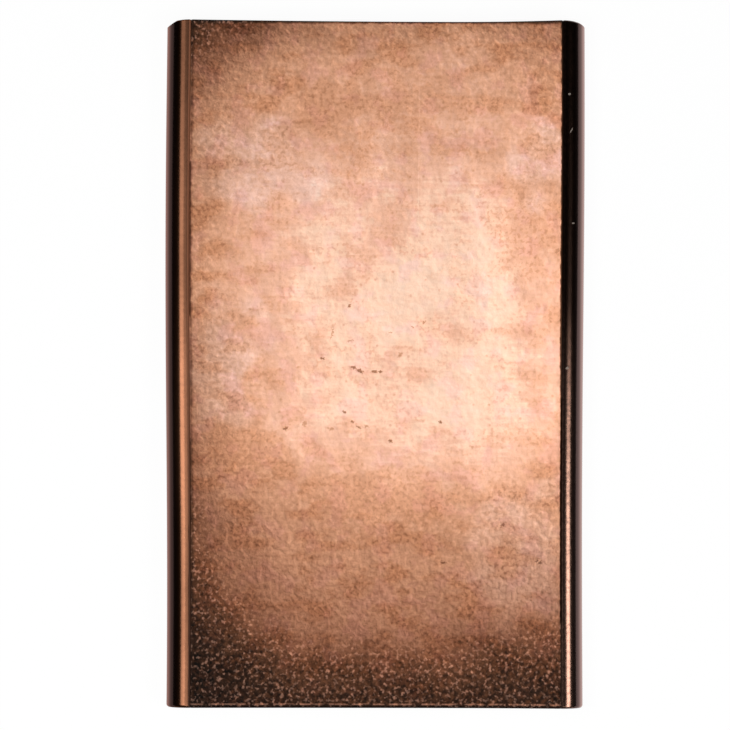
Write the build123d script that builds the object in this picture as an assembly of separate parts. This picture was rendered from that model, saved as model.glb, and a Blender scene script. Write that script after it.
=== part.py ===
# A short length of brass sheet, one piece of stock. Its broad face is grained and sags a little,
# and both long edges are turned down in a smooth bend that ends in a short lip. It lies on its
# lips with the grained face up. X runs across the sheet, Y along it from the foot end to the
# head end, and Z = 0 is the floor. The origin is the middle of the rectangle it covers.

from build123d import *
import math
import os

# Stock
sheet_length = 99.3  # foot end to head end, along the top of the bends
overall_width = 60.7  # over both turned edges, where each side stands out furthest
overall_height = 4.5  # floor to the top of the bends
sheet_thickness = 1.5

# Turned edges
bend_radius = 3.3  # outside of the bend, from the flat of the face to the upright lip

# The shallow hollow along the face, deepest to the right of the middle
sag_depth = 0.8
sag_offset = 11.0

# The long sides aren't quite straight: each swells out and in along the sheet in one long wave
wave_length = 108.0
left_wave = 0.36  # from where the side stands out furthest to where it lies in furthest
left_wave_crest = 18.0  # where it stands out furthest, from the middle towards the head end
right_wave = 0.25
right_wave_crest = 33.0
sections_per_wave = 5

# The fine groove on each side where the grained face stops and the smooth bend begins
left_margin = 3.55  # from the side to the middle of the groove
right_margin = 3.25
margin_groove_width = 0.4
margin_groove_depth = 0.12

# Cut ends
head_slant = 15.5  # degrees that the head end is undercut, so that its lips are cut back
foot_rollover = 0.42  # edge rolled over by the shear
head_edge_break = 0.2  # fine chamfer where the saw's edge was taken off

# The corner knocked off the left bend at the head end
nick_length = 1.05  # along the side
nick_angle = 31.0  # degrees that the nick leans back from the end

LEFT = -1
RIGHT = 1
half_length = sheet_length / 2
half_width = overall_width / 2
bend_centre_z = overall_height - bend_radius
cutting_allowance = sheet_thickness  # left on the head end and the lips until they are cut
same_place = 0.01  # two points nearer than this are the same point


def side_place(side, y):
    """How far out the lip's outer surface stands from the middle, at y along the sheet."""
    if side == LEFT:
        swing, crest = left_wave, left_wave_crest
    else:
        swing, crest = right_wave, right_wave_crest
    phase = 2 * math.pi * (y - crest) / wave_length
    return half_width - swing * (1 - math.cos(phase)) / 2


def half_skin(side, depth, y):
    """One half of the sheet's surface in section, from the lip's foot to the lowest line of the
    face, at a depth under the outer surface.

    The bend's arc runs on past the top of the bend until it leans as the face does. There the
    face's arc, whose centre is high above the sheet, takes over without a crease.
    """
    outside = side_place(side, y)
    bend_line = outside - bend_radius
    reach = bend_line - side * sag_offset
    between_centres = (reach**2 + sag_depth**2) / (2 * sag_depth)
    lean = math.degrees(math.asin(reach / between_centres))

    lip_x = side * (outside - depth)
    lip = Line((lip_x, -cutting_allowance), (lip_x, bend_centre_z))
    bend_centre = (side * bend_line, bend_centre_z)
    bend = CenterArc(bend_centre, bend_radius - depth, 90 - side * 90, side * (90 + lean))
    face_centre = (sag_offset, bend_centre_z + between_centres - sag_depth)
    face_radius = between_centres - bend_radius + depth
    face = CenterArc(face_centre, face_radius, -90, side * lean)
    return [lip, bend, face]


def lip_edge(side, y):
    """The end of one lip, below the floor until the lips are trimmed."""
    outside = side_place(side, y)
    inside = outside - sheet_thickness
    return Line((side * outside, -cutting_allowance), (side * inside, -cutting_allowance))


def section(y):
    """The whole section of the bent sheet, at y along it."""
    outline = []
    for side in (LEFT, RIGHT):
        outline += half_skin(side, 0, y)
        outline += half_skin(side, sheet_thickness, y)
        outline.append(lip_edge(side, y))
    return Plane.XZ.offset(-y) * make_face(Wire(outline))


def stations(start, end):
    """Places along the sheet, close enough together to carry its waves."""
    count = math.ceil((end - start) * sections_per_wave / wave_length) + 1
    return [start + (end - start) * step / (count - 1) for step in range(count)]


def bent_sheet():
    """The sheet bent to its sections, its lips trimmed flat, and left too long at the head end."""
    untrimmed = loft([section(y) for y in stations(-half_length, half_length + cutting_allowance)])
    return split(untrimmed, bisect_by=Plane.XY, keep=Keep.TOP)


def cut_head_end(sheet):
    """Cut the head end with a plane that leans back under the face.

    Breaking the sharp edge takes a little off the end, so the cut is made that much further out.
    """
    lean = math.radians(head_slant)
    lost_to_break = head_edge_break * math.sin(lean)
    cut = Plane(
        origin=(0, half_length + lost_to_break, overall_height),
        x_dir=(1, 0, 0),
        z_dir=(0, math.cos(lean), -math.sin(lean)),
    )
    return split(sheet, bisect_by=cut, keep=Keep.BOTTOM)


def outer_edges(end_face):
    """The edges of a cut end that lie on the sheet's outer surface."""

    def is_outer(edge):
        middle = edge @ 0.5
        surface = Wire(half_skin(LEFT, 0, middle.Y) + half_skin(RIGHT, 0, middle.Y))
        return (Plane.XZ * surface).distance_to(Vector(middle.X, 0, middle.Z)) < same_place

    return [edge for edge in end_face.edges() if is_outer(edge)]


def dress_ends(sheet):
    """Roll over the foot end's outer edge, and break the head end's with a fine chamfer."""
    foot = sheet.faces().sort_by(Axis.Y)[0]
    sheet = fillet(outer_edges(foot), foot_rollover)
    head = sheet.faces().sort_by(Axis.Y)[-1]
    return chamfer(outer_edges(head), head_edge_break)


def knock_off_corner(sheet):
    """Take the small flat off the left bend's corner at the head end."""
    lean = math.radians(nick_angle)
    corner_y = half_length - nick_length
    cut = Plane(
        origin=(-side_place(LEFT, corner_y), corner_y, 0),
        x_dir=(0, 0, 1),
        z_dir=(-math.sin(lean), math.cos(lean), 0),
    )
    return split(sheet, bisect_by=cut, keep=Keep.BOTTOM)


def margin_groove(side):
    """The cutter of the fine groove beside one bend, a small V along the whole sheet."""
    margin = left_margin if side == LEFT else right_margin
    width = margin_groove_width
    depth = margin_groove_depth

    def vee(y):
        place = side_place(side, y) - margin
        outline = Polyline((-width, depth), (width, depth), (0, -depth), close=True)
        return Plane.XZ.offset(-y) * Pos(side * place, overall_height) * make_face(outline)

    reach = half_length + cutting_allowance
    return loft([vee(y) for y in stations(-reach, reach)])


brass_sheet = bent_sheet()
brass_sheet = cut_head_end(brass_sheet)
brass_sheet = dress_ends(brass_sheet)
brass_sheet = knock_off_corner(brass_sheet)
for side in (LEFT, RIGHT):
    brass_sheet -= margin_groove(side)

os.makedirs("parts", exist_ok=True)
export_step(brass_sheet, "parts/brass_sheet.step")
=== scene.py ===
# %% [markdown]
# # A short length of brass sheet with turned edges
#
# The piece is one bent sheet of metal that lies on its two lips with the grained face up. Its size
# and form come from a fixed frame, the CAD model. This script dresses that frame: it models the
# sheet again with a fine mesh that can carry the grain, gives it the aged metal of the real one,
# and sets up the floor, the lamps and the camera.

# %% The frame
import bpy
import math
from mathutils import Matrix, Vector


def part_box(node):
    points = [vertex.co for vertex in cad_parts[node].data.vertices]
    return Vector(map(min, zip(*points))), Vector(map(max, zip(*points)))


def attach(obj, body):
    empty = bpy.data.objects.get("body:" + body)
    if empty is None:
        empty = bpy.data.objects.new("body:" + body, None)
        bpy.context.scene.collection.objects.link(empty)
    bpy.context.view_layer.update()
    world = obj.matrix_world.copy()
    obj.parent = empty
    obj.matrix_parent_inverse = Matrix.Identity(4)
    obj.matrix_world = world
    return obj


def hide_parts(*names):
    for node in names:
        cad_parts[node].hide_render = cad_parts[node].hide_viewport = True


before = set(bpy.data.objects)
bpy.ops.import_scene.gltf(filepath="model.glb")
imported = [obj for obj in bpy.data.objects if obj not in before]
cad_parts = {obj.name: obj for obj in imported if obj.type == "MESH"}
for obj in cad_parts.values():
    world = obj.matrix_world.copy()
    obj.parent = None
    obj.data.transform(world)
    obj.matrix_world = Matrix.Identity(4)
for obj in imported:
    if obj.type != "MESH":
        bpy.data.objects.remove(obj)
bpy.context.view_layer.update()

MM = 0.001  # the frame is in metres, and the sizes below are in millimetres
sheet_low, sheet_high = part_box("brass_sheet")
print("CAD box in mm:", [round(value / MM, 2) for value in (*sheet_low, *sheet_high)])


# %% [markdown]
# ## Sizes
#
# The length and the height are read from the frame, so they can't drift from the CAD model. The
# width and the sizes inside the box, such as the bend's radius, are the sheet's own and are named
# here once. This fine mesh has to stay inside the frame's box, so it is a hair narrower and lower.
# X runs across the sheet, Y along it from the foot end to the head end, and Z up from the floor.

# %% Sizes of the sheet
LEFT, RIGHT = -1, 1
foot, head = sheet_low.y, sheet_high.y
half_width = 30.345 * MM  # from the middle to where the sides stand out furthest
height = sheet_high.z - 0.003 * MM  # the tops of the bends

thickness = 1.5 * MM
bend_radius = 3.3 * MM
bend_centre_z = height - bend_radius
bend_line = half_width - bend_radius  # where each bend's centre lies, from the middle
sag_depth = 0.8 * MM
sag_x = 11.0 * MM  # the lowest line of the face lies to the right of the middle

groove_inset = {LEFT: 3.55 * MM, RIGHT: 3.25 * MM}  # from the side to the middle of the groove
groove_half_width = 0.2 * MM
groove_depth = 0.12 * MM

head_slant = math.radians(15.5)
nick_length = 1.05 * MM
nick_lean = math.radians(31)
foot_rollover = 0.42 * MM
head_edge_break = 0.2 * MM

# The long sides swell out and in along the sheet in one long wave
wave_length = 108 * MM
wave = {LEFT: 0.36 * MM, RIGHT: 0.25 * MM}
wave_crest = {LEFT: 18 * MM, RIGHT: 33 * MM}


def face_arc(side):
    """How far the centre of the face's arc lies from the bend's centre, and how far both arcs lean
    where they meet."""
    reach = abs(side * bend_line - sag_x)
    between_centres = (reach**2 + sag_depth**2) / (2 * sag_depth)
    return between_centres, math.asin(reach / between_centres)


for side in (LEFT, RIGHT):
    between_centres, lean = face_arc(side)
    print("face arc: radius about", round(between_centres / MM), "mm, lean",
          round(math.degrees(lean), 2), "degrees at the bend")


# %% [markdown]
# ## Helpers for edit mode
#
# An operator works on all that is selected, so each step first selects just what it needs. Lists
# of numbered points would do, but the numbers change with every step before. These helpers pick
# points or edges by a test on their place, the way a hand picks them with a box.

# %% Helpers for edit mode
def only_select(*objects):
    """Select these objects and nothing else, and make the first one active."""
    bpy.ops.object.select_all(action="DESELECT")
    for obj in objects:
        obj.select_set(True)
    bpy.context.view_layer.objects.active = objects[0]


def near(value, target, room=0.002 * MM):
    """Whether a measure is the wanted one, within far less than the mesh's spacing."""
    return abs(value - target) < room


def pick(obj, kind, test):
    """In edit mode, select the points, edges or faces that pass the test."""
    bpy.ops.object.mode_set(mode="OBJECT")
    mesh = obj.data
    parts = {"VERT": mesh.vertices, "EDGE": mesh.edges, "FACE": mesh.polygons}
    picked = [bool(test(part)) for part in parts[kind]]
    for other in parts.values():
        other.foreach_set("select", [False] * len(other))
    parts[kind].foreach_set("select", picked)
    bpy.context.tool_settings.mesh_select_mode = [kind == one for one in parts]
    bpy.ops.object.mode_set(mode="EDIT")
    return sum(picked)


def move_points(obj, new_place):
    """Move every point to new_place(its place), in object mode."""
    bpy.ops.object.mode_set(mode="OBJECT")
    for vertex in obj.data.vertices:
        vertex.co = new_place(vertex.co)


# %% [markdown]
# ## The outline across the sheet
#
# On the real piece one flat strip was rolled, and then both long edges were turned down over a
# rounded former. The mesh is made the same way round: a narrow plane stands for the left lip, its
# top edge is spun round the bend's centre, then round the far centre of the hollow face, and so on
# to the right lip. The spins give true arcs that meet without a crease. Each strip still runs the
# whole length in one piece, so that the ends can be shaped before the rows are cut.

# %% A skin spun from lip to lip
FINISHES = GRAINED, SMOOTH, PLAIN, SHORN = (
    "grained face", "tarnished bends", "plain underside", "shorn ends")
for finish in FINISHES:
    bpy.data.materials.new(finish)  # their nodes come later

end_row = {"foot": 0.6 * MM, "head": 0.4 * MM}  # short rows at the ends, for the dressed edges


def spin(steps, angle, centre_x, centre_z):
    """Sweep the selected edge round an axis that runs along the sheet. A positive angle turns it
    from the left lip up and over to the right."""
    bpy.ops.mesh.spin(steps=steps, angle=angle, center=(centre_x, 0, centre_z), axis=(0, -1, 0))


def spun_skin(name, depth, bend_steps, face_step):
    """The sheet's surface at a depth under its outer one, in strips that run its whole length."""
    start, stop = foot + end_row["foot"], head - end_row["head"]
    bpy.ops.object.select_all(action="DESELECT")
    bpy.ops.mesh.primitive_plane_add(
        size=1, rotation=(0, math.pi / 2, 0),
        location=(depth - half_width, (start + stop) / 2, bend_centre_z / 2))
    skin = bpy.context.active_object
    skin.name = skin.data.name = name
    for finish in FINISHES:
        skin.data.materials.append(bpy.data.materials[finish])
    skin.scale = (bend_centre_z, stop - start, 1)
    bpy.ops.object.transform_apply(location=True, rotation=True, scale=True)

    pick(skin, "VERT", lambda v: near(v.co.z, bend_centre_z))
    for side in (LEFT, RIGHT):
        between_centres, lean = face_arc(side)
        far_centre_z = bend_centre_z + between_centres - sag_depth
        face_steps = round(abs(side * bend_line - sag_x) / face_step)
        turned = math.pi / 2 + lean
        if side == LEFT:
            spin(bend_steps, turned, -bend_line, bend_centre_z)
            spin(face_steps, -lean, sag_x, far_centre_z)
        else:
            spin(face_steps, -lean, sag_x, far_centre_z)
            spin(bend_steps, turned, bend_line, bend_centre_z)
    bpy.ops.mesh.extrude_edges_move(TRANSFORM_OT_translate={"value": (0, 0, -bend_centre_z)})

    pick(skin, "VERT", lambda v: near(v.co.y, start))
    bpy.ops.mesh.extrude_edges_move(TRANSFORM_OT_translate={"value": (0, foot - start, 0)})
    pick(skin, "VERT", lambda v: near(v.co.y, stop))
    bpy.ops.mesh.extrude_edges_move(TRANSFORM_OT_translate={"value": (0, head - stop, 0)})
    bpy.ops.object.mode_set(mode="OBJECT")
    low = Vector(min(v.co[axis] for v in skin.data.vertices) for axis in range(3))
    high = Vector(max(v.co[axis] for v in skin.data.vertices) for axis in range(3))
    print(name, "box in mm:", [round(value / MM, 3) for value in (*low, *high)],
          len(skin.data.polygons), "strips")
    return skin


outer = spun_skin("brass_sheet_skin", 0, bend_steps=20, face_step=0.275 * MM)
inner = spun_skin("underside_skin", thickness, bend_steps=8, face_step=2.6 * MM)


# %% [markdown]
# ## The fine grooves beside the bends
#
# A thin dark line parts the grained face from each smooth bend: the grain was pressed in with a
# plate that ended there and left its edge in the metal. A plane cuts three lines into the strips
# on each side, and the middle one is pressed down, which leaves a shallow V. It could be a bump in
# the material, but a real V also shows from the side.

# %% Grooves
hair = 0.001 * MM  # an operator's own threshold is 0.1 mm here, which is coarser than the mesh


def press_groove(skin, side):
    """Cut three lines along one side of the face, and press the middle one down."""
    middle = side * (half_width - groove_inset[side])
    for offset in (-groove_half_width, groove_half_width, 0):
        bpy.ops.mesh.select_all(action="SELECT")
        bpy.ops.mesh.bisect(plane_co=(middle + offset, 0, 0), plane_no=(1, 0, 0),
                            threshold=hair)
    bpy.ops.transform.translate(value=(0, 0, -groove_depth))
    return middle


only_select(outer)
bpy.ops.object.mode_set(mode="EDIT")
groove_x = {side: press_groove(outer, side) for side in (LEFT, RIGHT)}
bpy.ops.object.mode_set(mode="OBJECT")
for strip in outer.data.polygons:
    between = groove_x[LEFT] < strip.center.x < groove_x[RIGHT]
    strip.material_index = FINISHES.index(GRAINED if between else SMOOTH)
for strip in inner.data.polygons:
    strip.material_index = FINISHES.index(PLAIN)
print("grooves at x =", [round(x / MM, 2) for x in groove_x.values()], "mm")


# %% [markdown]
# ## Slanted head end and rows
#
# The head end leans back under the face, so its lips are shorter than its face. Because each strip
# is still one long face, its end points only have to slide along the sheet to the slanted plane.
# Then the long edges are divided, so that the rows follow the shaped end, and the sides get the
# long wave that the real ones have. The outer skin gets rows as fine as its strips, because it has
# to carry the grain. Nobody sees grain on the underside, so there 24 rows are enough.

# %% Head end, rows and waves
def slanted_end(z):
    """How far the sheet reaches at the head end, at this height."""
    lost_to_break = head_edge_break * math.sin(head_slant)
    return head + lost_to_break + math.tan(head_slant) * (z - height)


def slant_head(place):
    """Where a point of the head end, or of the short row before it, lies on the slanted end."""
    if near(place.y, head):
        return Vector((place.x, slanted_end(place.z), place.z))
    if near(place.y, head - end_row["head"]):
        return Vector((place.x, slanted_end(place.z) - end_row["head"], place.z))
    return place


def in_from_wave(side, y):
    """How far the side lies in from where it stands out furthest."""
    phase = 2 * math.pi * (y - wave_crest[side]) / wave_length
    return wave[side] * (1 - math.cos(phase)) / 2


def follow_wave(place):
    """Where a point lies once its side waves: a bend moves all the way in with the wave, and the
    face less and less towards its lowest line."""
    side = LEFT if place.x < sag_x else RIGHT
    share = min(1, (place.x - sag_x) / (side * bend_line - sag_x))
    return Vector((place.x - side * share * in_from_wave(side, place.y), place.y, place.z))


def cut_rows(skin, passes):
    """Divide the long edges. A pass is a number of cuts and how long an edge must be to get them.
    An operator call makes at most 100 cuts, so the outer skin's fine rows come in two passes."""
    for cuts, longer_than in passes:
        along = [v.co.y for v in skin.data.vertices]
        pick(skin, "EDGE",
             lambda e: abs(along[e.vertices[0]] - along[e.vertices[1]]) > longer_than)
        bpy.ops.mesh.subdivide(number_cuts=cuts)
        bpy.ops.object.mode_set(mode="OBJECT")


def name_points(obj, name, test):
    """Keep the points that pass the test in a vertex group, to find them again later."""
    group = obj.vertex_groups.new(name=name)
    group.add([v.index for v in obj.data.vertices if test(v.co)], 1, "REPLACE")


outer_passes = ((25, 5 * MM), (13, 1.5 * MM))
inner_passes = ((23, 5 * MM),)
for skin, passes in ((outer, outer_passes), (inner, inner_passes)):
    only_select(skin)
    move_points(skin, slant_head)
    name_points(skin, "foot_" + skin.name, lambda place: near(place.y, foot))
    name_points(skin, "head_" + skin.name, lambda place: near(place.y, slanted_end(place.z)))
    cut_rows(skin, passes)
    move_points(skin, follow_wave)
    print(skin.name, len(skin.data.polygons), "faces")


# %% [markdown]
# ## Grain
#
# The face was pressed against a rough plate, which left low bumps less than a millimetre apart,
# over a slower unevenness. A bump in the material could show them, but would leave the mesh
# smooth, and the mesh is a result in its own right. So two Displace modifiers push the skin down
# by noise of those sizes. They only push downwards, so nothing rises above the tops of the bends,
# and a vertex group keeps them off the bends, the grooves and the cut ends.

# %% Grain
grain_room = 0.03 * MM  # left smooth at each end


def is_grained(place):
    across = groove_x[LEFT] + groove_half_width < place.x < groove_x[RIGHT] - groove_half_width
    return across and foot + grain_room < place.y < slanted_end(place.z) - grain_room


def press_noise(skin, name, size, depth):
    """Push the grained points down by cloudy noise whose lumps are about this size."""
    texture = bpy.data.textures.new(name, "CLOUDS")
    texture.noise_scale = size
    modifier = skin.modifiers.new(name, "DISPLACE")
    modifier.texture = texture
    modifier.texture_coords = "LOCAL"
    modifier.direction = "Z"
    modifier.mid_level = 1  # the noise ends at 1, so all of it pushes down
    modifier.strength = depth
    modifier.vertex_group = "grained"
    bpy.ops.object.modifier_apply(modifier=name)


only_select(outer)
name_points(outer, "grained", is_grained)
press_noise(outer, "uneven plate", size=4.5 * MM, depth=0.10 * MM)
press_noise(outer, "pebble grain", size=0.75 * MM, depth=0.055 * MM)
heights = [v.co.z for v in outer.data.vertices if is_grained(v.co)]
print("grained face lies between", round(min(heights) / MM, 2), "and",
      round(max(heights) / MM, 2), "mm")


# %% [markdown]
# ## Closing the sheet
#
# The two skins become one closed sheet. Each corner gets an edge from skin to skin, and then each
# end and each lip is filled with one flat face, as the shear left them. Filling keeps them plain:
# bridging would fan hundreds of thin triangles over the ends.

# %% Closing
def fill(test):
    """Close the ring of points that pass the test with one face."""
    pick(outer, "VERT", test)
    bpy.ops.mesh.edge_face_add()
    bpy.ops.object.material_slot_assign()


only_select(outer, inner)
bpy.ops.object.join()
outer.active_material_index = FINISHES.index(SHORN)
lip_end = slanted_end(0)
for side in (LEFT, RIGHT):
    for end in (foot, lip_end):
        fill(lambda v: near(v.co.z, 0) and near(v.co.y, end) and v.co.x * side > 0)
fill(lambda v: near(v.co.y, foot))
fill(lambda v: near(v.co.y, slanted_end(v.co.z)))
for side in (LEFT, RIGHT):
    fill(lambda v: near(v.co.z, 0) and v.co.x * side > 0)
bpy.ops.mesh.select_all(action="SELECT")
bpy.ops.mesh.normals_make_consistent(inside=False)
outer.update_from_editmode()
print("closed sheet:", len(outer.data.polygons), "faces")


# %% [markdown]
# ## Dressed ends
#
# The foot end was cut on a shear, which rolls the upper edge over. The head end was sawn and its
# sharp edge taken off with a file. So the foot gets a round bevel and the head a narrow flat one.
# A Bevel modifier would find edges by their angle and round the lips too, so the operator is used
# on just the edges whose points were named before the rows were cut.

# %% Dressed ends
def bevel_end(group, toward, width, segments):
    """Bevel the edges whose points are in the group and lie towards this end."""
    bpy.ops.object.mode_set(mode="OBJECT")
    index = outer.vertex_groups[group].index
    held = {v.index for v in outer.data.vertices
            if v.co.y * toward > 0 and any(g.group == index for g in v.groups)}
    count = pick(outer, "EDGE", lambda e: held.issuperset(e.vertices))
    bpy.ops.mesh.bevel(offset=width, offset_type="OFFSET", segments=segments, profile=0.5,
                       affect="EDGES", clamp_overlap=False)
    print(group, count, "edges dressed")


bevel_end("foot_brass_sheet_skin", foot, foot_rollover, segments=5)
bevel_end("head_brass_sheet_skin", head, head_edge_break, segments=1)


# %% [markdown]
# ## Knocked corner and a last look
#
# The left bend's corner at the head end was knocked flat. A plane cuts it off, throws the outer
# part away and closes the cut. The filled ends and lips are faces with hundreds of corners, which
# each program would split in its own way, so they are split into triangles here. On a closed sheet
# every edge has two faces, and Select Non Manifold finds any edge that hasn't.

# %% Knocked corner
corner_y = head - nick_length
corner_x = in_from_wave(LEFT, corner_y) - half_width
bpy.ops.mesh.select_all(action="SELECT")
bpy.ops.mesh.bisect(plane_co=(corner_x, corner_y, 0),
                    plane_no=(-math.sin(nick_lean), math.cos(nick_lean), 0),
                    use_fill=True, clear_outer=True, threshold=hair)
bpy.ops.mesh.select_all(action="DESELECT")
bpy.ops.mesh.select_face_by_sides(number=4, type="GREATER")
bpy.ops.mesh.quads_convert_to_tris(quad_method="BEAUTY", ngon_method="BEAUTY")
print("corner cut", round(nick_length / MM, 2), "mm along the side")

# %% A last look at the mesh
bpy.ops.mesh.select_all(action="SELECT")
bpy.ops.mesh.normals_make_consistent(inside=False)
bpy.ops.mesh.select_all(action="DESELECT")
bpy.ops.mesh.select_non_manifold()
bpy.ops.object.mode_set(mode="OBJECT")
bpy.ops.object.vertex_group_remove(all=True)  # they have done their work
open_edges = sum(edge.select for edge in outer.data.edges)
outer.data.calc_loop_triangles()
print("open edges:", open_edges, "triangles:", len(outer.data.loop_triangles))
bpy.ops.object.shade_smooth_by_angle(angle=math.radians(40))  # sharper edges stay sharp


# %% [markdown]
# ## Materials
#
# The whole sheet is one metal, an old red brass, but its surface changes from place to place: the
# face is matt and patchy, the bends are smooth and dark with tarnish, and the underside is plain.
# Each finish is its own material on its own faces. A material is a tree of nodes. It could be
# wired by hand, but a tree of a hundred nodes is easier to read as text, so a small class gives
# the few kinds that are needed short names. All patterns read the object's own coordinates, turned
# into millimetres, so that a pattern's size can be written as it is measured.

# %% A node tree with short names
class NodeTree:
    """A material's nodes. A method adds a node and returns the output to go on with. Each value
    that it takes is a number or the output of another node."""

    def __init__(self, name, flat=False):
        self.dimensions = "2D" if flat else "3D"
        self.material = bpy.data.materials.get(name) or bpy.data.materials.new(name)
        self.material.use_nodes = True
        self.tree = self.material.node_tree
        self.shader = self.tree.nodes["Principled BSDF"]
        place = self.node("ShaderNodeTexCoord").outputs["Object"]
        mapping = self.node("ShaderNodeMapping", {"Vector": place, "Scale": [1 / MM] * 3})
        self.place = mapping.outputs["Vector"]
        split = self.node("ShaderNodeSeparateXYZ", {"Vector": self.place})
        self.x, self.y, self.z = split.outputs

    def node(self, kind, values={}, **settings):
        made = self.tree.nodes.new(kind)
        for key, value in settings.items():
            setattr(made, key, value)
        for socket, value in values.items():
            self.feed(made.inputs[socket], value)
        return made

    def feed(self, socket, value):
        if isinstance(value, bpy.types.NodeSocket):
            self.tree.links.new(value, socket)
        else:
            socket.default_value = value

    def math(self, operation, *values):
        made = self.node("ShaderNodeMath", operation=operation)
        for socket, value in zip(made.inputs, values):
            self.feed(socket, value)
        return made.outputs[0]

    def product(self, *values):
        result = values[0]
        for value in values[1:]:
            result = self.math("MULTIPLY", result, value)
        return result

    def total(self, *values):
        result = values[0]
        for value in values[1:]:
            result = self.math("ADD", result, value)
        return result

    def without(self, share, amount=1.0):
        """1, less this amount of a share."""
        return self.math("MULTIPLY_ADD", share, -amount, 1)

    def ramp(self, value, start, end, low=0.0, high=1.0):
        """A smooth change from low to high while the value goes from start to end."""
        made = self.node("ShaderNodeMapRange", {
            "Value": value, "From Min": start, "From Max": end, "To Min": low, "To Max": high},
            interpolation_type="SMOOTHSTEP")
        return made.outputs["Result"]

    def mix(self, share, first, second, blend_type="MIX"):
        made = self.node("ShaderNodeMix", data_type="RGBA", blend_type=blend_type)
        factor, a, b = (made.inputs[i] for i in (0, 6, 7))  # the colours' own sockets
        for socket, value in ((factor, share), (a, first), (b, second)):
            self.feed(socket, value)
        return made.outputs[2]

    def tones(self, value, stops):
        """A scale of tones; each stop is (value, tone)."""
        made = self.node("ShaderNodeValToRGB", {"Fac": value})
        elements = made.color_ramp.elements
        while len(elements) < len(stops):
            elements.new(0.5)
        for element, (position, colour) in zip(elements, stops):
            element.position = position
            element.color = colour
        return made.outputs["Color"]

    def bump(self, height, depth, strength=1.0):
        made = self.node("ShaderNodeBump", {
            "Height": height, "Distance": depth * MM, "Strength": strength})
        self.feed(self.shader.inputs["Normal"], made.outputs["Normal"])

    def finish(self, **sockets):
        """Feed the shader's sockets, with their names written with _ for a space."""
        for name, value in sockets.items():
            self.feed(self.shader.inputs[name.replace("_", " ")], value)
        print(self.material.name + ":", len(self.tree.nodes), "nodes")


def tone(red, green, blue):
    """A colour written as it looks on a screen, from 0 to 255, turned into linear light."""
    def linear(part):
        part = part / 255
        return part / 12.92 if part <= 0.04045 else ((part + 0.055) / 1.055) ** 2.4
    return (linear(red), linear(green), linear(blue), 1)


# %% [markdown]
# ## Random patterns with a size
#
# Clouds, grain and freckles lie at random on the real metal, but each kind has its own size, and
# that is what the eye compares. Images of real metal could carry them, but they blur close up. The
# Noise and Voronoi textures are worked out at each point, so they stay sharp, and here they take
# the distance between their lumps in millimetres. A seed moves a pattern far off, because two
# noises of one size in one place would repeat the same lumps.

# %% Noise and dots
class Pattern(NodeTree):
    """A node tree with random patterns."""

    def stretched(self, x, y):
        """The place, stretched along X and Y, for patterns that run one way."""
        made = self.node("ShaderNodeMapping", {"Vector": self.place, "Scale": (1 / x, 1 / y, 1)})
        return made.outputs["Vector"]

    def moved(self, seed):
        made = self.node("ShaderNodeVectorMath", {0: self.place, 1: (37.0 * seed, 53.0 * seed, 0)},
                         operation="ADD")
        return made.outputs[0]

    def noise(self, size, detail=2.0, place=None, seed=0):
        """Cloudy noise from 0 to 1 whose lumps are about this many millimetres apart."""
        made = self.node("ShaderNodeTexNoise", {
            "Vector": place or self.moved(seed), "Scale": 1 / size, "Detail": detail},
            noise_dimensions=self.dimensions)
        return made.outputs["Fac"]

    def swing(self, amount, size, **settings):
        """Noise that swings by about this amount to either side of nought."""
        centred = self.math("SUBTRACT", self.noise(size, **settings), 0.5)
        return self.math("MULTIPLY", centred, 3 * amount)

    def dots(self, size, radius, share, seed=0):
        """Small round dots, about this many millimetres apart, on a share of the places."""
        made = self.node("ShaderNodeTexVoronoi", {"Vector": self.moved(seed), "Scale": 1 / size},
                         voronoi_dimensions=self.dimensions)
        chosen = self.math("LESS_THAN", self.node(
            "ShaderNodeSeparateColor", {"Color": made.outputs["Color"]}).outputs[0], share)
        spot = self.ramp(made.outputs["Distance"], 1.3 * radius / size, 0.5 * radius / size)
        return self.math("MULTIPLY", spot, chosen)


# %% [markdown]
# ## Broad shine of the grained face
#
# The middle of the face carries a pale, pinkish painted highlight. Towards its ends and along the
# left groove the face darkens, partly because grease and air have browned the metal and partly as
# painted shade where the light falls off. A painted mask could carry this, but a few smooth
# changes are enough and are easy to adjust. Each lowers one value, the shine, and a scale of tones
# turns that value into colour at the end. The place is shaken by noise first, so that no change
# runs straight. All places are in millimetres from the middle of the sheet.

# %% Painted shade and browning towards the foot end
face = Pattern(GRAINED, flat=True)
strayed_x = face.total(face.x, face.swing(1.2, 6.0, detail=2.0, seed=4))
strayed_y = face.total(face.y, face.swing(1.6, 7.0, detail=3.0))

slow_fade, end_fade = 0.62, 0.32  # what they leave of the shine
toward_foot = face.ramp(strayed_y, -6, -42, 1, slow_fade)
brown_and_shade_reach = face.total(strayed_y, face.ramp(strayed_x, -27, -8, -6.5, 0),
                         face.ramp(strayed_x, 5, 22, 0, -2.6))  # further up at both sides
browned_and_shaded_foot = face.ramp(brown_and_shade_reach, -35.6, -50.6, 1, end_fade)
foot_corner = face.without(face.product(face.ramp(strayed_x, -11, -26, 0, 0.33),
                                        face.ramp(strayed_y, -42, -49)))
print("foot end: down to a shine of", round(slow_fade * end_fade, 2))

# %% Painted shade and browning towards the head end and the right
toward_head = face.ramp(strayed_y, 12, 40, 1, 0.90)
toward_right = face.ramp(strayed_x, 14, 29, 1, 0.92)
# What the painted shade and browning take from the shine at the very head end, at the left and
# elsewhere.
at_left, elsewhere = 0.42, 0.16  # what the brown takes from the shine at the very end
head_shade = face.ramp(strayed_x, -20, -8, at_left, elsewhere)
browned_and_shaded_head = face.without(face.total(
    face.product(head_shade, face.ramp(strayed_y, 42, 51)),
    face.product(face.ramp(strayed_x, 8, 24), face.ramp(strayed_y, 34, 42, 0, 0.07))))
print("head end: the brown takes", at_left, "at the left and", elsewhere, "elsewhere")
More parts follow.
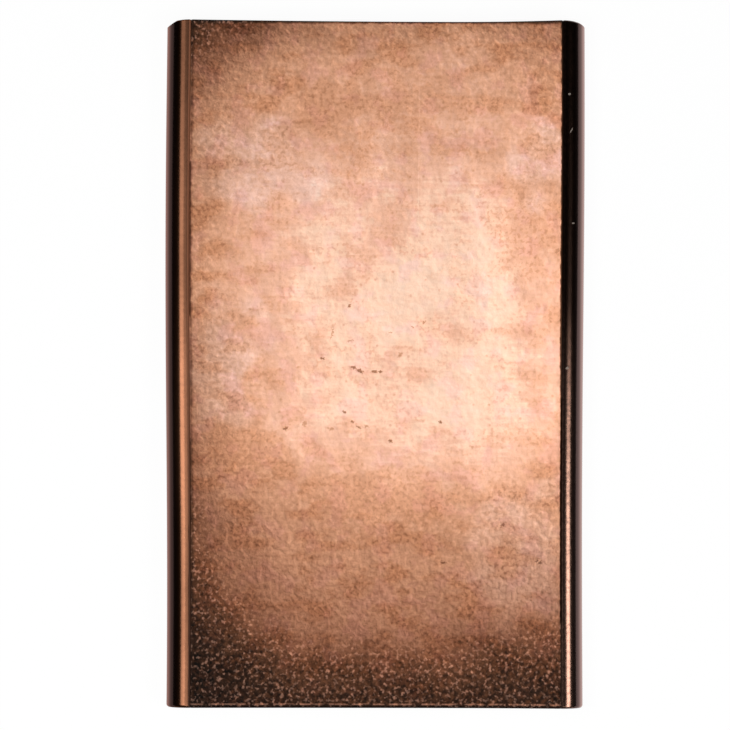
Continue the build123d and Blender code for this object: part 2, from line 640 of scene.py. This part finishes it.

# %% Painted shade and browning along the left groove
# How far the painted shade and browning reach from the left groove.
fade_start, fade_length = -27, 8  # the groove, and how far the brown reaches from it
left_shade = face.total(face.ramp(face.y, 20, -34, 0.23, 0.55),
                        face.ramp(face.y, 32, 48, 0, 0.36),
                        face.ramp(face.y, -36, -46, 0, -0.1))
left_reach = face.math("EXPONENT", face.math(
    "MULTIPLY_ADD", strayed_x, -1 / fade_length, fade_start / fade_length))
toward_left = face.without(face.product(left_shade, left_reach))

# The broad shine: a painted highlight in the middle, and painted shade with some browning towards
# the ends and sides.
broad_shine = face.product(toward_foot, browned_and_shaded_foot, toward_head, browned_and_shaded_head,
                           toward_right, toward_left, foot_corner)
print("broad shine:", len(face.tree.nodes), "nodes")


# %% [markdown]
# ## Marks in their places
#
# Some stains, pits and specks lie where anyone who knows the real sheet would look for them, so
# they can't be left to chance. They could be painted, but then their places couldn't be read or
# changed in a script. Here each is an oval with a middle, a length, a width and a turn. A plain
# oval looks drawn, so noise shakes the place first, and that makes the outline ragged.

# %% Oval marks
def marks(pattern, places, ragged=0.12, lump=0.25):
    """1 inside the oval marks and 0 outside. Each is (x, y, length, width, turn), in millimetres
    and degrees. Their outline strays by about ragged, in waves about as long as lump."""
    shake = pattern.node("ShaderNodeTexNoise", {
        "Vector": pattern.place, "Scale": 1 / lump, "Detail": 0.0},
        noise_dimensions=pattern.dimensions)
    shaken = pattern.node("ShaderNodeVectorMath", {
        0: shake.outputs["Color"], 1: (4 * ragged, 4 * ragged, 0), 2: pattern.place},
        operation="MULTIPLY_ADD").outputs[0]
    mean_shake = 2 * ragged  # the noise is 0.5 on average, so a mark's middle moves along by this
    nearest = 9.0  # far from any mark: this is a squared distance, and 1 is a mark's outline
    for x, y, length, width, turn in places:
        x, y, turned = x + mean_shake, y + mean_shake, math.radians(turn)
        reach = []
        for size, lean in ((length / 2, turned), (width / 2, turned + math.pi / 2)):
            way = (math.cos(lean) / size, math.sin(lean) / size, 0)
            along = pattern.node("ShaderNodeVectorMath", {0: shaken, 1: way},
                                 operation="DOT_PRODUCT").outputs["Value"]
            own = pattern.math("SUBTRACT", along, x * way[0] + y * way[1])
            reach.append(pattern.math("MULTIPLY", own, own))
        nearest = pattern.math("MINIMUM", nearest, pattern.math("ADD", *reach))
    return pattern.ramp(nearest, 1.7, 0.3)


# %% [markdown]
# ## Stains and grain
#
# Close up, the face is mottled with soft, ragged stains and with places that were worn paler, and
# the hollows of the grain hold dirt. The mesh has the grain's bumps, but relief alone looks too
# tidy, so noise of the grain's size also changes the tone. That grain in the tone is strongest
# where the face is darkest, and weakest where its painted highlight is brightest.

# %% Stains and paler places
stains = [(-2, 37, 24, 7, 5), (21.5, 19, 9, 18, 0), (-20, -13, 13, 9, 0), (3, -19, 24, 8, 0)]
paler = [(22, -27, 14, 20, 0), (-17, 30, 15, 14, 0), (24.5, 30, 9, 10, 0), (-22, 0, 9, 18, 0)]

clouds = face.noise(1.0, detail=5.0, place=face.stretched(5.5, 3.0))
stained = face.math("MAXIMUM", face.product(marks(face, stains, ragged=2.0, lump=3.5), 0.4),
                    face.product(face.ramp(clouds, 0.43, 0.68),
                                 face.ramp(broad_shine, 0.8, 1, 0.8, 0.22)))
pale = marks(face, paler, ragged=2.5, lump=6.0)
patches = face.total(face.product(stained, -0.06), face.product(pale, 0.035),
                     face.swing(0.05, 12.0, detail=3.0, seed=3),
                     face.swing(0.03, 3.0, detail=3.0, seed=9),
                     face.swing(0.02, 1.0, place=face.stretched(5.0, 0.5)))
print("stains:", len(stains), "and paler places:", len(paler), "besides the clouds")

# %% Grain, freckles and loose dots
grain = face.noise(0.72, detail=2.0)
grain_contrast = face.total(face.ramp(broad_shine, 0.22, 0.55, 0.44, 0.24),
                            face.ramp(broad_shine, 0.78, 0.97, 0, -0.21))
grain_tone = face.product(face.math("SUBTRACT", grain, 0.5), grain_contrast)
freckles = face.product(face.ramp(face.noise(0.55, detail=1.0, seed=6), 0.5, 0.68),
                        face.math("MULTIPLY_ADD", stained, 1.25, 0.2))
loose_dots = face.dots(2.3, 0.2, 0.25)

# The brightest part of the painted highlight is raised a little more.
lifted = face.total(broad_shine, face.ramp(broad_shine, 0.85, 1, 0, 0.025))
shine = face.total(face.product(lifted, face.total(1, patches)), grain_tone,
                   face.product(freckles, -0.085), face.product(loose_dots, -0.06))
print("shine with its grain:", len(face.tree.nodes), "nodes")


# %% [markdown]
# ## Pits and scratches
#
# Grit was pressed into the middle of the real face and left small dark pits, with fainter marks
# round them, and one long pale scratch runs along the sheet. They are few and easy to recognise,
# so they are placed one by one. Dents in the mesh would need far smaller faces there. At this size
# a darker tone with a little bump reads the same.

# %% Pits and scratches
pits = [
    (-7.5, 0.8, 0.75, 0.28, -15), (-3.0, -0.5, 0.8, 0.4, -35), (-2.1, -1.0, 0.9, 0.4, -15),
    (0.0, -1.1, 0.8, 0.35, 5), (0.8, -1.05, 0.6, 0.28, -5), (-4.3, -6.95, 0.6, 0.3, -35),
    (-3.2, -8.35, 0.45, 0.35, 0), (-2.3, -9.05, 0.85, 0.25, -30), (-3.7, 8.4, 0.5, 0.4, 60),
    (2.3, -11.1, 0.75, 0.28, -28), (10.0, -28.6, 0.95, 0.35, 0), (23.5, -28.3, 0.8, 0.22, 50),
    (24.0, -28.5, 0.6, 0.22, 50), (-12.8, -9.3, 0.6, 0.5, 30), (18.5, -23.2, 0.7, 0.35, 20),
    (9.4, -8.3, 0.6, 0.3, -10),
]
faint_marks = [
    (-6.2, 4.3, 1.7, 0.2, 72), (-3.5, 3.4, 0.9, 0.25, 8), (3.7, 1.4, 0.8, 0.45, 50),
    (7.1, 6.0, 0.6, 0.3, 65), (5.4, 5.4, 0.7, 0.3, -40), (2.3, 4.6, 0.6, 0.25, 30),
    (-6.2, -9.4, 0.8, 0.35, 10), (-10.1, -8.6, 0.8, 0.55, 60), (-1.2, -8.9, 0.9, 0.3, -25),
    (20.2, -19.2, 0.6, 0.35, 30), (26.3, 16.4, 0.7, 0.5, 50),
]
scratches = [(6.3, 30.0, 26.0, 0.12, 89.5)]

marked = face.math("MAXIMUM", marks(face, pits), face.product(marks(face, faint_marks), 0.45))
scratched = face.product(marks(face, scratches, ragged=0.03), 0.03)
shine = face.total(face.product(shine, face.without(marked, 0.32)), scratched)
print("pits:", len(pits), "faint marks:", len(faint_marks), "scratches:", len(scratches))


# %% [markdown]
# ## Painted shade at the edges of the face
#
# A thin, ragged dark line of painted shade runs beside each groove, where the face dips into it,
# and along the head end, where the face turns down. A straight dark line would miss the grooves,
# which follow the waving sides, so the distance from a groove is worked out from the same wave
# that shaped the mesh.

# %% Painted shade at the edges
def from_groove(pattern, side):
    """How far a place lies from the middle of one groove, towards the middle of the face."""
    phase = pattern.math("MULTIPLY_ADD", pattern.y, math.tau * MM / wave_length,
                         -math.tau * wave_crest[side] / wave_length)
    swell = pattern.math("MULTIPLY", pattern.math("COSINE", phase), wave[side] / MM / 2)
    middle = (half_width - groove_inset[side] - wave[side] / 2) / MM
    groove = pattern.math("ADD", swell, middle)
    return pattern.math("MULTIPLY_ADD", pattern.x, -side, groove)


foot_end, head_end = foot / MM, head / MM
ragged = face.swing(0.22, 0.9, detail=3.0, seed=8)
# Painted shade: the shine drops in a ragged band just inside each groove and along the head end.
left_border = face.ramp(face.total(from_groove(face, LEFT), ragged), 0.0, 0.65, 0.58, 1)
right_border = face.ramp(face.total(from_groove(face, RIGHT), face.product(ragged, 0.4),
                                    face.ramp(face.y, 12, -12, -0.06, 0.12)), 0.1, 0.3, 0.3, 1)
head_line = face.ramp(face.total(face.y, face.product(ragged, 0.6)),
                      head_end - 0.7, head_end - 0.2, 1, 0.32)
shine = face.product(shine, left_border, right_border, head_line)
print("dirt: within about 0.7 mm of the grooves and of the head end")


# %% [markdown]
# ## Glints, highlight line and shade at the foot end
#
# The foot end is the darkest part of the face, partly browned and partly painted shade. The tops
# of its grain get painted glints, partly worn bare metal. Just above the rolled edge lies a thin,
# broken painted highlight, where a ridge left by the shear faces a lamp. The rolled edge itself
# gets painted shade where it turns away. Small dots alone look like bubbles and noise alone looks
# like worms, so the sparkle takes the brighter of the two.

# %% Painted glints, highlight line and shade on the rolled edge
brown = face.ramp(broad_shine, 0.62, 0.36)
# Painted glints on the tops of the grain where the face is darkest, partly worn bare metal.
sparkle_dots = face.product(face.dots(1.0, 0.17, 0.5, seed=11), 0.8)
sparkle_noise = face.product(face.ramp(face.noise(0.6, detail=1.0, seed=13), 0.53, 0.78), 1.3)
rubbed_glints = face.product(brown, face.math("MAXIMUM", sparkle_dots, sparkle_noise),
                      face.ramp(face.noise(2.2, seed=12), 0.3, 0.65, 0.5, 1))
# Painted highlight: a thin, broken line from 0.4 to 0.75 mm above the foot end.
burr_highlight = face.product(face.ramp(face.y, foot_end + 0.75, foot_end + 0.6),
                    face.ramp(face.y, foot_end + 0.4, foot_end + 0.5),
                    face.ramp(face.noise(1.6, detail=3.0, seed=13), 0.40, 0.54))
# Painted shade on the rolled edge, within 0.45 mm of the foot end.
rolled_over = face.ramp(face.total(face.y, face.product(ragged, 0.3)),
                        foot_end + 0.45, foot_end + 0.35)
shine = face.total(shine, face.product(rubbed_glints, 0.17), face.product(burr_highlight, 0.24))
shine = face.product(shine, face.without(rolled_over, 0.6))
print("burr: from 0.4 to 0.75 mm above the foot end")


# %% [markdown]
# ## Colour and relief of the face
#
# The shine now becomes colour, by a scale of tones from nearly black through reddish brown to pale
# pink. The hue shifts as well: stains and the dark foot end turn yellower, some clouds pinker, and
# the paler worn places greyer. Multiplying by a tint does that and keeps the pattern. The painted
# glints and highlight line lean towards a pale pinkish grey. The metal isn't fully metallic here,
# because dull tarnish scatters light as paint does, and its bumps are weaker where the painted
# highlight is brightest.

# %% Colour
# The tones above full_shine are for the peaks of the painted highlight, glints and highlight line.
full_shine = 0.84  # where the shine of 1 lies on the scale; the tones above are for its peaks
colour = face.tones(face.product(shine, full_shine), [
    (0.0, tone(10, 6, 3)), (0.15, tone(46, 28, 18)), (0.27, tone(81, 52, 36)),
    (0.37, tone(111, 71, 52)), (0.51, tone(154, 105, 79)), (0.66, tone(196, 142, 110)),
    (0.74, tone(222, 166, 134)), (0.81, tone(243, 190, 162)), (full_shine, tone(253, 209, 181)),
    (0.92, tone(255, 222, 200))])
pinkish = face.ramp(face.noise(3.5, detail=3.0, seed=16), 0.50, 0.66)
tints = ((stained, (1, 0.89, 0.77, 1)), (pinkish, (1, 0.97, 1.05, 1)),
         (pale, (1, 1.1, 1.25, 1)), (brown, (1, 0.93, 0.84, 1)))
for share, tint in tints:
    colour = face.mix(share, colour, tint, blend_type="MULTIPLY")
# Painted glints and highlight line, partly bare metal, lean towards a pale pinkish grey.
bare_glints = face.math("MAXIMUM", rubbed_glints, burr_highlight)
colour = face.mix(face.product(bare_glints, 0.16), colour, tone(210, 165, 145))
print("colour: a scale of tones and", len(tints), "tints")

# %% Relief and gloss
brightest_part = face.ramp(broad_shine, 0.55, 0.95)
face.bump(face.total(grain, face.product(marked, -0.4)), 0.10, face.without(brightest_part, 0.78))
face.finish(Base_Color=colour, Metallic=0.75, Roughness=0.48, Specular_IOR_Level=0.2)


# %% [markdown]
# ## Tarnish on the smooth bends
#
# The bends were polished by hands and then darkened, so they mirror the room like dark glass: a
# bright line where they face a lamp, black between, and the pale floor at the very side. The lines
# could be painted on, but they would stay put when the sheet turns. A dark, warm metal with little
# roughness mirrors the lamps themselves. Its tone says how strongly, and raising and lowering that
# tone along the sheet, with a different tone on each side, paints brighter and dimmer stretches
# into the mirrored lines. Streaks and specks vary it at random. Next to the groove it is darkened,
# partly by grime and partly as painted shade.

# %% How strongly the bends mirror
bends = Pattern(SMOOTH)
left_part = bends.ramp(bends.x, 5, -5)
right_part = bends.ramp(bends.x, -5, 5)


def by_side(left, right):
    """One value on the left bend and another on the right one."""
    return bends.total(bends.product(left_part, left), bends.product(right_part, right))


# Painted reflection: the gleam raises and lowers how strongly the mirrored lamp lines show along
# each bend.
left_gleam = bends.total(bends.ramp(bends.y, 48, 20, 0.26, 0.5),
                         bends.ramp(bends.y, 15, -5, 0, 0.45),
                         bends.ramp(bends.y, -14, -34, 0, -0.28),
                         bends.ramp(bends.y, -38, -46, 0, 0.08))
inner_part = bends.ramp(from_groove(bends, LEFT), -1.6, -0.75, -0.42, 0.15)
left_gleam = bends.product(left_gleam, bends.math(
    "MULTIPLY_ADD", bends.ramp(bends.y, -10, -26), inner_part, 1))
right_gleam = bends.total(bends.ramp(bends.y, 12, -8, 0.16, 0.75),
                          bends.ramp(bends.y, -10, -36, 0, 0.2))
print("gleam of the bends:", len(bends.tree.nodes), "nodes")

# %% Streaks, specks, grime and painted shade beside the groove
specks = bends.product(bends.swing(1.0, 0.55, detail=2.0, seed=8), by_side(0.15, 0.55))
streaks = bends.total(1, bends.swing(0.10, 1.0, place=bends.stretched(0.5, 5.0)),
                      bends.swing(0.08, 4.0, seed=2), specks)
own_groove = bends.math("MINIMUM", from_groove(bends, LEFT), from_groove(bends, RIGHT))
# Next to each groove the bend is darkened, partly grime and partly painted shade in the crease.
grime_and_groove_shade = bends.ramp(bends.total(own_groove, bends.swing(0.12, 0.9, seed=7)), -0.5, -0.15)
clear_of_grime_and_shade = bends.without(bends.product(grime_and_groove_shade, by_side(0.15, 0.7)))
gleam = bends.product(by_side(left_gleam, right_gleam), streaks, clear_of_grime_and_shade)
print("grime: up to 0.5 mm from the grooves")

# %% Tone of the tarnish
def side_tones(left, right):
    """One tone on the left bend and another on the right one."""
    return bends.tones(right_part, [(0.0, tone(*left)), (1.0, tone(*right))])


def dimmed(colour, value, brightest=1.0):
    """The colour times a value from 0 to 1, and at 1 times brightest."""
    grey = bends.tones(value, [(0.0, (0, 0, 0, 1)), (1.0, (brightest,) * 3 + (1,))])
    return bends.mix(1.0, colour, grey, blend_type="MULTIPLY")


# The tarnish's tone times the gleam, which paints brighter and dimmer stretches into the mirrored
# lamp lines.
tarnish = dimmed(side_tones((112, 74, 54), (120, 91, 78)), gleam)
print("tarnish:", len(bends.tree.nodes), "nodes")


# %% [markdown]
# ## Rim, dust and crust
#
# Lower down, the bends' tone is greyer and graded by height, brighter towards the floor, and that
# sets how brightly they mirror it: painted light and shade in that reflection. A few specks of
# dust lie on the right bend, and in the left groove the dirt has set to a dull brown crust. Dust
# and crust are no metal, so they also take the gloss away. A rim seen at a grazing angle would
# turn white, and the tint of the mirrored light keeps it down.

# %% Rim
# Painted light and shade in the mirrored floor: the rim's tone is graded by height.
rim_fade = by_side(bends.ramp(bends.z, 1.9, 3.4, 1.0, 0.12),
                   bends.ramp(bends.z, 2.4, 3.4, 0.47, 0.14))
rim = dimmed(side_tones((98, 76, 72), (130, 105, 101)), rim_fade, brightest=3.5)
rim_top = 4.1  # above the floor
tarnish = bends.mix(bends.ramp(bends.z, rim_top, 3.6), tarnish, rim)
print("rim: below", rim_top, "mm")

# %% Dust and crust
dust_specks = [(28.3, 33.8, 0.75, 0.22, 60), (27.75, -0.5, 0.5, 0.3, 20),
               (28.0, 39.0, 0.35, 0.3, 0), (28.6, 20.4, 0.3, 0.25, 0)]
dust = marks(bends, dust_specks, ragged=0.05)
tarnish = bends.mix(bends.product(dust, 0.6), tarnish, tone(150, 140, 130))
crust = bends.product(left_part, bends.ramp(own_groove, -0.4, -0.2))
crust_tone = bends.tones(bends.ramp(bends.y, 20, -45),
                         [(0.0, tone(120, 74, 50)), (1.0, tone(56, 32, 20))])
tarnish = bends.mix(crust, tarnish, crust_tone)
print("dust specks:", len(dust_specks))

# %% Relief and gloss of the bends
bends.bump(bends.noise(0.9, detail=2.0, seed=5), 0.002)
bends.finish(Base_Color=tarnish,
             Metallic=bends.total(1, bends.product(dust, -0.9), bends.product(crust, -0.7)),
             Roughness=bends.total(0.18, bends.product(dust, 0.6), bends.product(grime_and_groove_shade, 0.2),
                                   bends.product(crust, 0.2)),
             Specular_Tint=side_tones((200, 180, 175), (250, 240, 236)))


# %% [markdown]
# ## Underside and shorn ends
#
# The underside was never dressed, so it is an even, dull brown with a few darker clouds. The shorn
# ends and the lips' edges show finer streaks, drawn across the thickness by the blade. Both need
# one noise and two tones each.

# %% Underside
plain = Pattern(PLAIN)
dullness = plain.total(plain.noise(7.0, detail=4.0), plain.swing(0.08, 0.8))
plain.bump(plain.noise(0.6, detail=2.0), 0.01)
plain.finish(Base_Color=plain.tones(dullness, [(0.3, tone(72, 47, 33)), (0.7, tone(128, 88, 64))]),
             Metallic=0.8, Roughness=0.5)

# %% Shorn ends
shorn = Pattern(SHORN)
blade = shorn.noise(0.5, detail=2.0, place=shorn.stretched(0.3, 1.0))
shorn.bump(blade, 0.01)
shorn.finish(Base_Color=shorn.tones(blade, [(0.3, tone(34, 22, 16)), (0.7, tone(74, 50, 37))]),
             Metallic=0.7, Roughness=0.5, Specular_Tint=tone(120, 105, 98))


# %% [markdown]
# ## Camera
#
# The real sheet was photographed square on, so the camera hangs over the middle and looks down. It
# hangs far off with a long lens, because a near one would show much more of the bends' sides. The
# lens isn't chosen by eye: it follows from how much of the sheet one pixel of the picture covers.
# The last small shift and turn put the sheet where it lies in the real picture.

# %% Camera
pixel = 0.14415 * MM  # what one pixel of the picture covers, at the top of the bends
picture = 730  # pixels each way
sensor = 36  # mm
lens_height = 720 * MM
shift_x, shift_y = -9.7 * pixel, -0.9 * pixel
camera_turn = math.radians(0.14)

camera_data = bpy.data.cameras.new("camera")
camera_data.sensor_width = sensor
camera_data.lens = sensor * (lens_height - height) / (picture * pixel)
camera = bpy.data.objects.new("camera", camera_data)
bpy.context.scene.collection.objects.link(camera)
camera.location = (shift_x, shift_y, lens_height)
camera.rotation_euler = (0, 0, camera_turn)
bpy.context.scene.camera = camera
bpy.context.scene.view_settings.view_transform = "Standard"
print("lens", round(camera_data.lens, 1), "mm")


# %% [markdown]
# ## Floor
#
# Behind the real sheet all is white. A matt floor under these lamps would be grey, and brighter
# lamps would burn out the sheet, so the floor's material asks what kind of ray has met it. Rays
# from the camera and from mirrors see it glow white, with a little of the matt floor left in it
# for a faint shadow. Rays that carry soft light see plain matt paper, so the glow lights nothing.

# %% Floor
glow_share = 0.95
floor_radius = 3  # metres
just_below = -0.02 * MM  # so that the lips don't share a plane with it
bpy.ops.object.select_all(action="DESELECT")
bpy.ops.mesh.primitive_circle_add(vertices=128, radius=floor_radius, fill_type="NGON",
                                  location=(0, 0, just_below))
floor = bpy.context.active_object
floor.name = "floor"

paper = Pattern("white paper floor")
light_path = paper.node("ShaderNodeLightPath").outputs
mirrored = paper.math("MAXIMUM", light_path["Is Glossy Ray"], light_path["Is Transmission Ray"])
seen = paper.math("MAXIMUM", light_path["Is Camera Ray"], mirrored)
glow = paper.node("ShaderNodeEmission", {"Color": (1, 1, 1, 1), "Strength": 1.0})
matt = paper.node("ShaderNodeBsdfDiffuse", {"Color": (0.95, 0.95, 0.95, 1)})
blend = paper.node("ShaderNodeMixShader", {0: paper.math("MULTIPLY", seen, glow_share)})
paper.feed(blend.inputs[1], matt.outputs[0])
paper.feed(blend.inputs[2], glow.outputs[0])
paper.feed(paper.tree.nodes["Material Output"].inputs["Surface"], blend.outputs[0])
floor.data.materials.append(paper.material)
print("floor:", floor_radius, "m in radius")


# %% [markdown]
# ## Lamps and room
#
# The bends mirror the lamps, so where a lamp hangs decides where its bright line lies on the bend,
# and its width decides how wide that line is. The lamps are soft panels: one over the left bend
# with a weaker one beside it, since the real line is softer on its inner side, a strip for the
# right bend and a panel from the foot end. Spots would light the face as well but leave only dots
# in the bends. The room is nearly black, because between the lines the real bends are.

# %% Lamps
lamp_distance = 0.6  # metres from the bend


def soft_lamp(name, side, off_axis, size, radiance, along=0.0):
    """A panel of this size in metres, turned to the bend on one side. off_axis is its angle from
    straight up in degrees, as that bend sees it, and along shifts it towards the head end."""
    data = bpy.data.lights.new(name, "AREA")
    data.shape = "RECTANGLE"
    data.size, data.size_y = size
    data.energy = radiance * math.pi * size[0] * size[1]
    lamp = bpy.data.objects.new(name, data)
    bpy.context.scene.collection.objects.link(lamp)
    angle = math.radians(off_axis)
    lamp.location = (side * (bend_line + lamp_distance * math.sin(angle)), along,
                     lamp_distance * math.cos(angle))
    lamp.rotation_euler = (0, side * angle, 0)
    lamp.visible_camera = False
    return lamp


soft_lamp("left panel", LEFT, 32.5, (0.21, 0.5), 5.6)
soft_lamp("left panel's inner edge", LEFT, 14, (0.20, 0.5), 2.4)
soft_lamp("right strip", RIGHT, 43, (0.18, 0.46), 8.4, along=-0.25)

foot_panel_y, foot_panel_z = -0.3, 0.55
foot_panel = soft_lamp("foot panel", RIGHT, 0, (0.5, 0.2), 4.2)
foot_panel.location = (0, foot_panel_y, foot_panel_z)
turned_to_middle = math.atan2(foot_panel_y, foot_panel_z)
foot_panel.rotation_euler = (turned_to_middle, 0, 0)
print("lamps:", [lamp.name for lamp in bpy.data.lights])

# %% Dim room
world = bpy.data.worlds.new("dim room")
world.use_nodes = True
world.node_tree.nodes["Background"].inputs["Color"].default_value = (0.04, 0.04, 0.04, 1)
bpy.context.scene.world = world
print("room:", world.name)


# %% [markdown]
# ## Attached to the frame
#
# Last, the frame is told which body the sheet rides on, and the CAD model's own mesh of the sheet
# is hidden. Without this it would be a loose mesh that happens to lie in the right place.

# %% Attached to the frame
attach(outer, "root")
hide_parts("brass_sheet")
